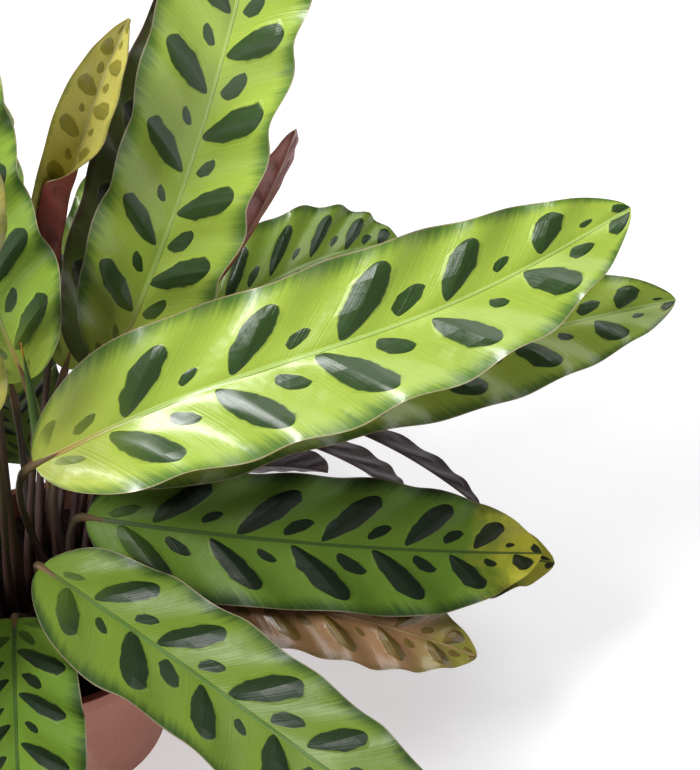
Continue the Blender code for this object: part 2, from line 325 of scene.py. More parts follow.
def markings_group():
    """Masks for the blotches, margin, midrib and veins of a blade.

    The map called place holds how far a point lies from the midrib, from -1
    to 1, and along the blade, from 0 to 1. The map called vein holds the
    count of blotches along the blade, followed down a side vein, and the
    distance along the blade in cm down that vein. The map called flat holds
    the distances across and along the blade in cm.
    """
    tree = bpy.data.node_groups.new("leaf_markings", "ShaderNodeTree")
    wanted = (("Blotch Width", 0.205), ("Margin Width", 0.10), ("Crest", 1.4))
    for label, value in wanted:
        socket = tree.interface.new_socket(label, in_out="INPUT", socket_type="NodeSocketFloat")
        socket.default_value = value
    given = ("Blotch", "Margin", "Rim", "Midrib", "Stalk End", "Tip", "Veins", "Mottle", "Height")
    for label in given:
        tree.interface.new_socket(label, in_out="OUTPUT", socket_type="NodeSocketFloat")
    sizes = tree.nodes.new("NodeGroupInput").outputs
    result = tree.nodes.new("NodeGroupOutput").inputs

    def uv(name):
        node = tree.nodes.new("ShaderNodeUVMap")
        node.uv_map = name
        split = tree.nodes.new("ShaderNodeSeparateXYZ")
        tree.links.new(node.outputs["UV"], split.inputs[0])
        return node.outputs["UV"], split.outputs[0], split.outputs[1]

    _, side, along = uv("place")
    vein, count, slide = uv("vein")
    _, over, _ = uv("flat")
    out = math_node(tree, "ABSOLUTE", side)
    wobble = cloud(tree, 170.0, 1.0)
    wobble = math_node(tree, "SUBTRACT", wobble, 0.5)

    def chance_of(value):
        node = tree.nodes.new("ShaderNodeTexWhiteNoise")
        node.noise_dimensions = "1D"
        tree.links.new(value, node.inputs["W"])
        split = tree.nodes.new("ShaderNodeSeparateColor")
        tree.links.new(node.outputs["Color"], split.inputs[0])
        return split.outputs

    def blotch(shift, centre, reach, width, least):
        """One family of blotches, centred on whole counts plus the shift.

        Each is a lens with a point at the midrib and a blunt outer end, and
        the blade rises to a crest along its middle.
        """
        moved = math_node(tree, "SUBTRACT", count, shift)
        number = math_node(tree, "ROUND", moved)
        luck = chance_of(number)
        off = math_node(tree, "SUBTRACT", moved, number)
        off = math_node(tree, "ADD", off, math_node(tree, "MULTIPLY_ADD", luck[2], 0.05, -0.025))
        size = math_node(tree, "MULTIPLY_ADD", luck[0], 1.0 - least, least)
        middle = math_node(tree, "MULTIPLY_ADD", luck[1], 0.05, centre - 0.025)
        p = math_node(tree, "DIVIDE", math_node(tree, "SUBTRACT", out, middle),
                      math_node(tree, "MULTIPLY", size, reach))
        inner = math_node(tree, "MULTIPLY_ADD", p, 1.25, 1.25, clamp=True)
        outer = math_node(tree, "MULTIPLY_ADD", p, -2.4, 2.4, clamp=True)
        spread = math_node(tree, "MULTIPLY", math_node(tree, "POWER", inner, 0.62),
                           math_node(tree, "POWER", outer, 0.5))
        spread = math_node(tree, "MULTIPLY", spread, math_node(tree, "MULTIPLY", size, width))
        q = math_node(tree, "DIVIDE", math_node(tree, "ABSOLUTE", off),
                      math_node(tree, "MAXIMUM", spread, 0.004))
        edge = math_node(tree, "MULTIPLY_ADD", wobble, 0.40, q)
        mask = math_node(tree, "SUBTRACT", 1.0, step_between(tree, edge, 0.93, 1.07))
        within = math_node(tree, "LESS_THAN", math_node(tree, "ABSOLUTE", p), 0.999)
        mask = math_node(tree, "MULTIPLY", mask, within)
        crest = math_node(tree, "MULTIPLY_ADD", q, -0.8, 1.0, clamp=True)
        crest = math_node(tree, "MULTIPLY", crest, math_node(tree, "DIVIDE", spread, width))
        return mask, crest

    narrow = math_node(tree, "MULTIPLY", sizes["Blotch Width"], 0.72)
    big, big_crest = blotch(0.0, 0.41, 0.39, sizes["Blotch Width"], 0.85)
    small, small_crest = blotch(0.5, 0.235, 0.155, narrow, 0.5)
    both = math_node(tree, "MAXIMUM", big, small)
    inside = step_between(tree, out, 0.02, 0.05)
    inside = math_node(tree, "MULTIPLY", inside, step_between(tree, along, 0.02, 0.05))
    both = math_node(tree, "MULTIPLY", both, inside)
    tree.links.new(both, result["Blotch"])

    feather = tree.nodes.new("ShaderNodeTexNoise")
    stretch = tree.nodes.new("ShaderNodeMapping")
    stretch.inputs["Scale"].default_value = (1.1, 3.6, 1.0)
    tree.links.new(vein, stretch.inputs["Vector"])
    tree.links.new(stretch.outputs["Vector"], feather.inputs["Vector"])
    feather.inputs["Scale"].default_value = 1.0
    feather.inputs["Detail"].default_value = 3.0
    feather.inputs["Roughness"].default_value = 0.65
    ragged = math_node(tree, "SUBTRACT", feather.outputs["Fac"], 0.5)
    swell = math_node(tree, "COSINE", math_node(tree, "MULTIPLY_ADD", count, 2 * math.pi, 2.2))
    band = math_node(tree, "MULTIPLY_ADD", ragged, 0.30, out)
    band = math_node(tree, "MULTIPLY_ADD", swell, 0.035, band)
    low = math_node(tree, "SUBTRACT", 1.0, math_node(tree, "MULTIPLY", sizes["Margin Width"], 1.9))
    high = math_node(tree, "MULTIPLY_ADD", sizes["Margin Width"], 0.2, 1.0)
    band = step_between(tree, band, low, high)
    tree.links.new(band, result["Margin"])
    tree.links.new(step_between(tree, out, 0.978, 0.992), result["Rim"])

    across = math_node(tree, "ABSOLUTE", over)
    rib_width = math_node(tree, "MULTIPLY_ADD", along, -0.07, 0.125)
    rib_core = math_node(tree, "MULTIPLY", rib_width, 0.55)
    rib = math_node(tree, "SUBTRACT", 1.0, step_between(tree, across, rib_core, rib_width))
    tree.links.new(rib, result["Midrib"])
    past_stalk = step_between(tree, along, 0.03, 0.22)
    tree.links.new(math_node(tree, "SUBTRACT", 1.0, past_stalk), result["Stalk End"])

    patchy = math_node(tree, "MULTIPLY_ADD", cloud(tree, 110.0, 4.0), 0.22, along)
    tree.links.new(step_between(tree, patchy, 0.92, 1.08), result["Tip"])
    threads = tree.nodes.new("ShaderNodeTexNoise")
    threads.noise_dimensions = "1D"
    tree.links.new(math_node(tree, "MULTIPLY_ADD", side, 0.4, slide), threads.inputs["W"])
    threads.inputs["Scale"].default_value = 8.0
    threads.inputs["Detail"].default_value = 2.0
    threads.inputs["Roughness"].default_value = 0.7
    threads = step_between(tree, threads.outputs["Fac"], 0.40, 0.72)
    tree.links.new(threads, result["Veins"])
    tree.links.new(cloud(tree, 34.0, 4.0), result["Mottle"])
    calm = math_node(tree, "MULTIPLY", step_between(tree, along, 0.01, 0.10), sizes["Crest"])
    height = math_node(tree, "MULTIPLY_ADD", small_crest, 0.30, big_crest)
    height = math_node(tree, "MULTIPLY", height, calm)
    height = math_node(tree, "MULTIPLY_ADD", threads, -0.035, height)
    height = math_node(tree, "MULTIPLY_ADD", rib, 0.30, height)
    height = math_node(tree, "MULTIPLY_ADD", cloud(tree, 1500.0, 2.0), 0.02, height)
    height = math_node(tree, "MULTIPLY_ADD", cloud(tree, 90.0, 2.0), 0.5, height)
    tree.links.new(height, result["Height"])
    return tree


markings = markings_group()


def upper_side(name, light, deep, blotch, margin, rib, base, rim, rough=0.30, pale=None,
               crest=1.4, rim_band=0.10, gloss=0.4, coat=0.35, tip=None):
    """The upper skin of a blade.

    Its ground varies from light to deep, with pale near the stalk and tip at
    the far end where they are given. The midrib has the colour rib, and base
    near the stalk. The very edge has the colour rim.
    """
    mat, tree, shader = new_material(name, rough, gloss)
    shader.inputs["Coat Weight"].default_value = coat
    shader.inputs["Coat Roughness"].default_value = 0.16
    marks = tree.nodes.new("ShaderNodeGroup")
    marks.node_tree = markings
    marks.inputs["Crest"].default_value = crest
    marks.inputs["Margin Width"].default_value = rim_band
    m = marks.outputs
    colour = tint(tree, m["Mottle"], light, deep)
    if pale:
        colour = tint(tree, math_node(tree, "MULTIPLY", m["Stalk End"], 0.6), colour, pale)
    colour = tint(tree, math_node(tree, "MULTIPLY", m["Veins"], 0.35), colour, deep)
    colour = tint(tree, math_node(tree, "MULTIPLY", m["Margin"], 0.9), colour, margin)
    if tip:
        colour = tint(tree, m["Tip"], colour, tip)
    dark = tint(tree, m["Veins"], tuple(c * 1.35 for c in blotch), blotch)
    strength = math_node(tree, "MULTIPLY_ADD", m["Stalk End"], -0.45, 0.97)
    colour = tint(tree, math_node(tree, "MULTIPLY", m["Blotch"], strength), colour, dark)
    colour = tint(tree, math_node(tree, "MULTIPLY", m["Midrib"], 0.85), colour, rib)
    root = math_node(tree, "MULTIPLY", m["Midrib"], m["Stalk End"])
    colour = tint(tree, root, colour, base)
    colour = tint(tree, math_node(tree, "MULTIPLY", m["Rim"], 0.7), colour, rim)
    tree.links.new(colour, shader.inputs["Base Color"])
    sheen = math_node(tree, "MULTIPLY_ADD", m["Mottle"], 0.16, rough - 0.08)
    tree.links.new(sheen, shader.inputs["Roughness"])
    relief(tree, shader, m["Height"], 0.001)
    return mat


def lower_side(name, light, deep, blotch, rib, rough=0.42, gloss=0.4):
    """The red underside, on which the blotches show faintly through."""
    mat, tree, shader = new_material(name, rough, gloss)
    marks = tree.nodes.new("ShaderNodeGroup")
    marks.node_tree = markings
    marks.inputs["Crest"].default_value = -0.8
    m = marks.outputs
    colour = tint(tree, m["Mottle"], light, deep)
    colour = tint(tree, math_node(tree, "MULTIPLY", m["Veins"], 0.35), colour, deep)
    colour = tint(tree, math_node(tree, "MULTIPLY", m["Blotch"], 0.6), colour, blotch)
    colour = tint(tree, math_node(tree, "MULTIPLY", m["Midrib"], 0.8), colour, rib)
    tree.links.new(colour, shader.inputs["Base Color"])
    sheen = math_node(tree, "MULTIPLY_ADD", m["Mottle"], 0.2, rough - 0.1)
    tree.links.new(sheen, shader.inputs["Roughness"])
    relief(tree, shader, m["Height"], 0.001)
    return mat


# The lit copy of the upper skin: its lighter, yellower ground is painted light, for leaves that
# stand in full light.
painted_light_upper = upper_side(
    "leaf_upper_painted_light", (0.43, 0.56, 0.075), (0.29, 0.42, 0.045), (0.015, 0.042, 0.010),
    (0.050, 0.135, 0.026), (0.40, 0.56, 0.14), (0.46, 0.31, 0.08), (0.42, 0.32, 0.19),
    pale=(0.50, 0.52, 0.10), rim_band=0.135)
plain_upper = upper_side(
    "leaf_upper_plain", (0.30, 0.44, 0.052), (0.18, 0.30, 0.030), (0.012, 0.034, 0.009),
    (0.035, 0.105, 0.022), (0.30, 0.46, 0.11), (0.40, 0.28, 0.08), (0.40, 0.33, 0.20),
    pale=(0.36, 0.42, 0.07))
# A darker copy of the upper skin with painted shade, for low leaves shaded by those above; its
# blotches, midrib and stalk end are darkened too.
painted_shade_upper = upper_side(
    "leaf_upper_painted_shade", (0.165, 0.240, 0.027), (0.090, 0.155, 0.016), (0.007, 0.017, 0.006),
    (0.014, 0.043, 0.010), (0.065, 0.135, 0.026), (0.09, 0.13, 0.03), (0.28, 0.23, 0.14), 0.40,
    rim_band=0.13, gloss=0.3, coat=0.0)
# A still darker copy of the upper skin with painted deep shade, for the leaves lowest and most
# shaded in the plant.
PAINTED_DEEP_SHADE_COLOURS = (
    (0.135, 0.225, 0.022), (0.072, 0.145, 0.013), (0.0045, 0.010, 0.0045), (0.010, 0.032, 0.008),
    (0.040, 0.085, 0.018), (0.05, 0.08, 0.025), (0.20, 0.17, 0.10))
painted_deep_shade_upper = upper_side("leaf_upper_painted_deep_shade", *PAINTED_DEEP_SHADE_COLOURS, 0.46, rim_band=0.13, gloss=0.22, coat=0.0)
# The same painted deep shade, with a real yellowed tip on top of it.
yellowing_painted_shade_upper = upper_side(
    "leaf_upper_yellowing_painted_shade", *PAINTED_DEEP_SHADE_COLOURS, 0.46, rim_band=0.13, gloss=0.22, coat=0.0,
    tip=(0.42, 0.40, 0.035))
# A dark olive and brownish copy of the upper skin with painted shade, for the leaf that stands
# shaded behind the tallest leaf.
olive_painted_shade_upper = upper_side(
    "leaf_upper_olive_painted_shade", (0.075, 0.105, 0.018), (0.035, 0.050, 0.010), (0.006, 0.009, 0.004),
    (0.035, 0.022, 0.012), (0.11, 0.12, 0.04), (0.18, 0.12, 0.05), (0.26, 0.20, 0.13))
gold_upper = upper_side(
    "leaf_upper_gold", (0.62, 0.57, 0.15), (0.44, 0.38, 0.065), (0.19, 0.17, 0.022),
    (0.26, 0.27, 0.05), (0.52, 0.48, 0.16), (0.45, 0.25, 0.08), (0.34, 0.22, 0.10), 0.30, crest=0.7)
copper_upper = upper_side(
    "leaf_upper_copper", (0.40, 0.230, 0.110), (0.26, 0.145, 0.055), (0.130, 0.085, 0.015),
    (0.16, 0.11, 0.03), (0.42, 0.27, 0.12), (0.40, 0.18, 0.10), (0.40, 0.28, 0.15), 0.26,
    pale=(0.46, 0.22, 0.13), gloss=0.6, coat=0.5, tip=(0.26, 0.25, 0.035))
# A far darker copy of the red underside with painted shade, for the leaves down in the shaded
# crown.
wine_painted_shade_under = lower_side(
    "leaf_under_wine_painted_shade", (0.034, 0.008, 0.010), (0.015, 0.004, 0.005), (0.014, 0.005, 0.006),
    (0.07, 0.025, 0.02), 0.34, 0.22)
red_under = lower_side(
    "leaf_under_red", (0.135, 0.030, 0.028), (0.070, 0.016, 0.018), (0.035, 0.012, 0.014),
    (0.16, 0.07, 0.045))
brick_under = lower_side(
    "leaf_under_brick", (0.34, 0.075, 0.058), (0.22, 0.042, 0.032), (0.17, 0.036, 0.024),
    (0.28, 0.12, 0.06))

# The stalks are round and slim, brown red where they leave the soil and
# greener near the blade, with a paler swollen joint just below it. All
# these colours are kept very dark with painted shade for the shaded crown.
stalk_skin_painted_shade, tree, shader = new_material("leaf_stalk_painted_shade", 0.42, 0.45)
uv_node = tree.nodes.new("ShaderNodeUVMap")
uv_node.uv_map = "place"
split = tree.nodes.new("ShaderNodeSeparateXYZ")
tree.links.new(uv_node.outputs["UV"], split.inputs[0])
climb = split.outputs[1]
streaks = cloud(tree, 320.0, 4.0, (1.0, 1.0, 0.08))
colour = tint(tree, streaks, (0.016, 0.006, 0.005), (0.050, 0.017, 0.010))
colour = tint(tree, step_between(tree, climb, 0.35, 0.95), colour, (0.055, 0.040, 0.014))
colour = tint(tree, step_between(tree, climb, 0.86, 0.97), colour, (0.13, 0.075, 0.028))
tree.links.new(colour, shader.inputs["Base Color"])
tree.links.new(step_between(tree, streaks, -1.4, 1.8), shader.inputs["Roughness"])
relief(tree, shader, streaks, 0.00025)

# Each look pairs an upper skin with an underside. The bright look has painted light in its colours;
# the middle, deep, yellowing, wine and olive looks have painted shade.
LOOKS = {
    "bright": (painted_light_upper, red_under),
    "plain": (plain_upper, red_under),
    "middle": (painted_shade_upper, red_under),
    "deep": (painted_deep_shade_upper, red_under),
    "yellowing_painted_shade": (yellowing_painted_shade_upper, red_under),
    "wine": (painted_deep_shade_upper, wine_painted_shade_under),
    "olive": (olive_painted_shade_upper, red_under),
    "brick": (plain_upper, brick_under),
    "gold": (gold_upper, brick_under),
    "copper": (copper_upper, brick_under),
}

# The long leaf
# The largest leaf, which reaches out to the right over the others. A leaf is
# one grown piece: a round stalk from the soil, and a lance-shaped blade half
# a millimetre thick, with pleats along its side veins and a wavy margin.
STALK_RADIUS = 1.5
FOOT_RADIUS = 2.4
FOOT_DEPTH = 2.5
STALK_SIDES = 14
STALK_STEPS = 44
STALK_RUN = 1.14
BLADE_THICKNESS = 0.5
LEAST_HALF_WIDTH = 0.35
COMMON_WIDTH = 56
SIDE_VEIN_SLOPE = 1.19
ROWS = 96
COLUMNS = 15
leaf_number = 0


def unit(v):
    return np.array(v, float) / np.linalg.norm(v)


def smooth(x):
    x = min(max(x, 0.0), 1.0)
    return x * x * (3 - 2 * x)


def outline(t):
    """Half width of a blade along its length, as a part of the largest."""
    if t < 0.28:
        return (1 - (1 - t / 0.28) ** 2.2) ** 0.6
    if t > 0.6:
        return max(1 - ((t - 0.6) / 0.4) ** 2.2, 0.0) ** 0.7
    return 1.0


def stalk_radius(p):
    """A stalk is thicker at its foot, where p is 0."""
    return STALK_RADIUS + (FOOT_RADIUS - STALK_RADIUS) * (1 - smooth(p / 0.45))


class Blade:
    """The stalk, midrib, facing and cross section of one leaf, in mm."""

    def __init__(self, foot, base, tip, width, face, bow=(0, 0, 0), swing=(0, 0, 0), fold=8,
                 curl_right=(10, 10), curl_left=(10, 10), lap=(0, 0, 1)):
        self.foot = np.array((foot[0], foot[1], SOIL_TOP - FOOT_DEPTH), float)
        self.base = np.array(base, float)
        self.tip = np.array(tip, float)
        self.length = np.linalg.norm(self.tip - self.base)
        self.width = width
        self.face = unit(face)
        self.bow = np.array(bow, float)
        self.swing = np.array(swing, float)
        self.fold = math.radians(fold)
        self.curl = {1: curl_right, -1: curl_left}
        self.lap = lap

    def midrib(self, t):
        line = self.base * (1 - t) + self.tip * t
        return line + self.bow * 4 * t * (1 - t) + self.swing * math.sin(2 * math.pi * t)

    def frame(self, t):
        along = unit(self.midrib(t + 0.01) - self.midrib(t - 0.01))
        normal = unit(self.face - along * self.face.dot(along))
        return self.midrib(t), along, normal, np.cross(along, normal)

    def stalk(self, p):
        """The middle of the stalk, from the soil at 0 to the blade at 1."""
        end, along, _, _ = self.frame(0.0)
        reach = np.linalg.norm(end - self.foot)
        first = self.foot + np.array((0, 0, 1.0)) * reach * 0.45
        last = end - along * reach * 0.25
        q = 1 - p
        return self.foot * q ** 3 + first * 3 * q * q * p + last * 3 * q * p * p + end * p ** 3

    def section(self, t, side, parts):
        """Offsets to the side and up for rising parts of the half width."""
        turn = math.radians(self.curl[side][0] * (1 - t) + self.curl[side][1] * t)
        lap = 0.0
        if side > 0:
            most, start, run = self.lap
            lap = math.radians(most) * (1 - smooth((t - start) / run))
        x = z = last = 0.0
        found = []
        for part in parts:
            s = (part + last) / 2
            angle = self.fold + turn * s * s + lap * smooth(s / 0.45)
            x += math.cos(angle) * (part - last)
            z += math.sin(angle) * (part - last)
            last = part
            found.append((x, z, self.fold + turn * part * part + lap * smooth(part / 0.45)))
        return found


def leaf(name, node, look, slot, seed, blotches=6.2, start=0.14, pleat=1.0, wave=2.6, shift=0.35,
         **shape):
    """Builds one leaf as a single mesh: blade, midrib and stalk."""
    global leaf_number
    leaf_number += 1
    lf = Blade(**shape)
    wave *= lf.width / COMMON_WIDTH
    chance = np.random.default_rng(seed)
    ease = [chance.uniform(-1, 1) for _ in range(7)]
    verts, faces, skins = [], [], []
    place, vein, flat = [], [], []
    parts = [(k / COLUMNS) ** 1.15 for k in range(COLUMNS + 1)]
    rows = [smooth(k / ROWS) * 0.35 + 0.65 * k / ROWS for k in range(ROWS + 1)]

    def blotch_count(slide, t, side):
        """Blotches up to this side vein. They crowd a little near the tip."""
        count = (slide / lf.length - start) * blotches + (shift if side > 0 else 0.0)
        return count + 0.35 * max(t - 0.55, 0.0) ** 2 * blotches

    # Each row across the blade holds the points of its upper skin, with what
    # the lower skin and the maps need, from the left margin to the right one
    info = []
    for t in rows:
        t = min(max(t, 0.0005), 0.9995)
        point, _, normal, right = lf.frame(t)
        half = max(lf.width / 2 * outline(t), LEAST_HALF_WIDTH)
        quiet = smooth(t / 0.12) * smooth((1 - t) / 0.10)
        line = []
        for side in (-1, 1):
            section = lf.section(t, side, parts)
            for k, part in enumerate(parts):
                if side == 1 and k == 0:
                    continue
                x, z, angle = section[k]
                out = part * half
                slide = t * lf.length - out * SIDE_VEIN_SLOPE * (1 - 0.18 * part)
                count = blotch_count(slide, t, side)
                turn = 2 * math.pi * count
                bulge = pleat * quiet * math.cos(turn)
                bulge *= math.sin(math.pi * min(part / 0.92, 1.0)) ** 0.8
                edge = wave * quiet * part ** 3 * math.sin(turn + 1.1 + 0.7 * ease[0] + 0.5 * side)
                drift = 2 * math.pi * (1.7 * t + ease[1 if side > 0 else 2])
                edge += 0.6 * wave * quiet * part ** 2 * math.sin(drift)
                scallop = 1 + 0.028 * quiet * part ** 2 * math.sin(turn + 0.4 + ease[3])
                drift = 2 * math.pi * (2.3 * t + ease[4 if side > 0 else 5])
                scallop += 0.03 * part ** 2 * math.sin(drift)
                groove = -0.35 * math.exp(-(out / 1.6) ** 2)
                lift = z * half + (bulge + edge) * math.cos(angle) + groove
                sideways = side * (x * half * scallop - (bulge + edge) * math.sin(angle))
                down = normal * math.cos(angle) - right * side * math.sin(angle)
                spot = point + right * sideways + normal * lift
                line.append((spot, down, part, out, count, slide, t))
        left = line[:len(parts)][::-1]
        info.append(left + line[len(parts):])
    width_count = 2 * COLUMNS + 1
    sheet = len(info) * width_count
    for layer in (0, 1):
        for line in info:
            for spot, down, part, out, _, _, t in line:
                drop = 0.0
                if layer:
                    rib = 1.3 * (1 - 0.8 * t) * max(0.0, 1 - (out / (2.2 * (1 - 0.6 * t))) ** 2)
                    drop = BLADE_THICKNESS * (0.5 + 0.5 * (1 - part ** 6)) + rib
                verts.append((spot - down * drop) * MM)

    def corner(row, column, side):
        _, _, part, out, count, slide, t = info[row][column]
        if column == COLUMNS:
            slide = t * lf.length
            count = blotch_count(slide, t, side)
        seeded = count + 60 * leaf_number + (1000 if side > 0 else 0)
        return (side * part, t), (seeded, slide / 10), (side * out / 10, t * lf.length / 10)

    def add_face(corners, skin, side):
        faces.append([row * width_count + column + layer * sheet for row, column, layer in corners])
        skins.append(skin)
        for row, column, _ in corners:
            a, b, c = corner(row, column, side)
            place.append(a)
            vein.append(b)
            flat.append(c)

    end = width_count - 1
    for row in range(ROWS):
        for column in range(end):
            side = -1 if column < COLUMNS else 1
            quad = [(row, column), (row, column + 1), (row + 1, column + 1), (row + 1, column)]
            add_face([(r, c, 0) for r, c in quad], 0, side)
            add_face([(r, c, 1) for r, c in quad[::-1]], 1, side)
        add_face([(row, 0, 0), (row + 1, 0, 0), (row + 1, 0, 1), (row, 0, 1)], 0, -1)
        add_face([(row, end, 0), (row, end, 1), (row + 1, end, 1), (row + 1, end, 0)], 0, 1)
    for a in range(end):
        b = a + 1
        side = -1 if a < COLUMNS else 1
        add_face([(0, a, 0), (0, a, 1), (0, b, 1), (0, b, 0)], 0, side)
        add_face([(ROWS, a, 0), (ROWS, b, 0), (ROWS, b, 1), (ROWS, a, 1)], 0, side)

    # The stalk rises from the soil and runs on a little way under the blade
    _, _, normal, right = lf.frame(0.0)
    ring_base = len(verts)

    def stalk_at(p):
        if p > 1:
            s = (p - 1) * 0.5
            here, _, n, _ = lf.frame(s)
            return here - n * (0.9 + 2.0 * s)
        return lf.stalk(p) - normal * 0.9 * smooth((p - 0.9) / 0.1)

    for k in range(STALK_STEPS + 1):
        p = STALK_RUN * k / STALK_STEPS
        here = stalk_at(p)
        ahead = unit(stalk_at(p + 0.01) - stalk_at(p - 0.01)) if k else np.array((0, 0, 1.0))
        over = unit(right - ahead * right.dot(ahead))
        up = np.cross(over, ahead)
        radius = stalk_radius(p)
        radius += 0.42 * smooth((p - 0.80) / 0.08) * (1 - smooth((p - 0.98) / 0.06))
        if p > 1:
            radius *= 1 - 0.75 * smooth((p - 1) / (STALK_RUN - 1))
        for i in range(STALK_SIDES):
            angle = 2 * math.pi * i / STALK_SIDES
            ridge = 1 + 0.05 * math.sin(3 * angle + ease[6])
            way = over * math.cos(angle) + up * math.sin(angle)
            verts.append((here + way * radius * ridge) * MM)
    for k in range(STALK_STEPS):
        ring = ring_base + k * STALK_SIDES
        for i in range(STALK_SIDES):
            j = (i + 1) % STALK_SIDES
            faces.append([ring + i, ring + j, ring + STALK_SIDES + j, ring + STALK_SIDES + i])
            skins.append(2)
            for kk, ii in ((k, i), (k, i + 1), (k + 1, i + 1), (k + 1, i)):
                place.append((ii / STALK_SIDES, STALK_RUN * kk / STALK_STEPS))
                vein.append((ii / STALK_SIDES, kk / STALK_STEPS))
                flat.append((ii / STALK_SIDES, kk / STALK_STEPS))
    for k, order in ((0, -1), (STALK_STEPS, 1)):
        faces.append([ring_base + k * STALK_SIDES + i for i in range(STALK_SIDES)][::order])
        skins.append(2)
        place += [(0.5, STALK_RUN * k / STALK_STEPS)] * STALK_SIDES
        vein += [(0.5, 0.5)] * STALK_SIDES
        flat += [(0.5, 0.5)] * STALK_SIDES

    mesh = bpy.data.meshes.new(name)
    mesh.from_pydata([tuple(v) for v in verts], [], faces)
    for label, values in (("place", place), ("vein", vein), ("flat", flat)):
        layer = mesh.uv_layers.new(name=label)
        layer.data.foreach_set("uv", np.array(values, dtype=np.float32).ravel())
    mesh.polygons.foreach_set("material_index", np.array(skins, dtype=np.int32))
    mesh.shade_smooth()
    mesh.set_sharp_from_angle(angle=math.radians(62))
    upper, lower = LOOKS[look]
    return shown(name, mesh, [upper, lower, stalk_skin_painted_shade], node, slot=slot)


# The long leaf wears the bright look, with painted light in its colours.
leaf("long_leaf", "leaf_long", "bright", "leaf", 11, foot=(1, 4), base=(0, 14, 165),
     tip=(238, 70, 255), width=64, face=(0.0, -0.62, 0.78), bow=(0, -14, 9), swing=(0, 3, 3),
     blotches=5.6, start=0.165, shift=0.2)

# The upright leaves
# The tallest leaf stands almost straight up, with painted light in its
# colours, and one behind it is darker with painted shade, and another stands at
# the upper left. They grow from the middle of the plant.
leaf("tall_leaf", "leaf_tall", "bright", "leaf", 23, foot=(7, 15), base=(25, 71, 158),
     tip=(104, 93, 408), width=56, face=(-0.2, -0.95, 0.2), bow=(6, -6, 0), blotches=6.8,
     shift=0.5)
leaf("tall_leaf_behind", "leaf_tall_behind", "olive", "shaded_leaf", 31, foot=(1, 18),
     base=(12, 88, 142), tip=(106, 114, 385), width=46, face=(-0.3, -0.9, 0.2), bow=(-6, 0, 0))
leaf("upper_left_leaf", "leaf_upper_left", "plain", "leaf", 37, foot=(-10, 4), base=(-6, 50, 176),
     tip=(-30, 82, 362), width=58, face=(0.2, -0.95, 0.2), bow=(-6, 0, 0))
leaf("left_upright_leaf", "leaf_left_upright", "plain", "leaf", 41, foot=(-24, 6),
     base=(-46, 26, 172), tip=(-120, 84, 325), width=46, face=(0.6, -0.7, 0.3), fold=14)

# The young golden leaves
# Leaves that have just opened are thin and golden green. One is still half
# rolled, so that its brick red underside folds over to the front.
leaf("rolled_leaf", "leaf_rolled", "gold", "young_leaf", 43, foot=(-5, 12), base=(3, 85, 188),
     tip=(51, 65, 348), width=28, face=(-0.3, -0.9, 0.2), bow=(-6, 0, 0), fold=30,
     curl_right=(20, 10), curl_left=(60, 10), lap=(125, 0.42, 0.3), wave=0.8, pleat=0.4)
leaf("gold_left_leaf", "leaf_gold_left", "gold", "young_leaf", 47, foot=(-12, -2),
     base=(-12, 32, 255), tip=(-28, 48, 402), width=38, face=(0.5, -0.85, 0.1), fold=20, wave=1.8)
leaf("olive_left_leaf", "leaf_olive_left", "gold", "young_leaf", 53, foot=(-16, -7),
     base=(-13, 3, 204), tip=(-46, 10, 330), width=40, face=(0.4, -0.8, 0.2), fold=20, wave=1.8)
leaf("copper_leaf", "leaf_copper", "copper", "young_leaf", 59, foot=(18, -6), base=(26, -6, 106),
     tip=(184, -14, 68), width=42, face=(0.0, -0.35, 0.93), bow=(0, 0, 14), wave=1.8)

